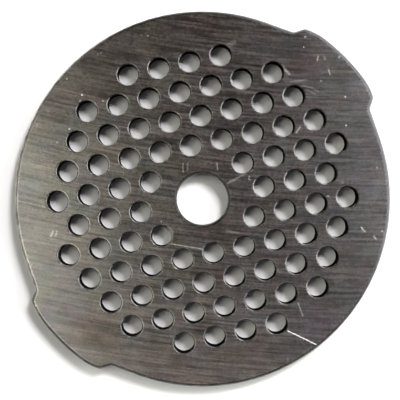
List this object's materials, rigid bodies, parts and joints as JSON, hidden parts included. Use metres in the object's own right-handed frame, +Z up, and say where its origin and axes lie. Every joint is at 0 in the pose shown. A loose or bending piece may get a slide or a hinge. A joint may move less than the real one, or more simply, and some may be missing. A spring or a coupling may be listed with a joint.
{
  "type": "meat grinder plate",
  "caption": "Flat round steel plate with a centre bore, a field of small round holes and opposite lugs on its rim, through which a meat grinder presses its food.",
  "frame": {"origin": "centre of the bore at the plate's lower face, which the plate lies on", "axes": "+Z up along the bore, out of the upper face; +X through the middle of one lug"},
  "size_m": [0.058, 0.054, 0.003],
  "materials": {
    "ground_steel": "ground steel with fine nearly parallel grinding lines, light scratches and nicks"
  },
  "bodies": {
    "root": {"grinder_plate": "ground_steel"}
  },
  "joints": []
}
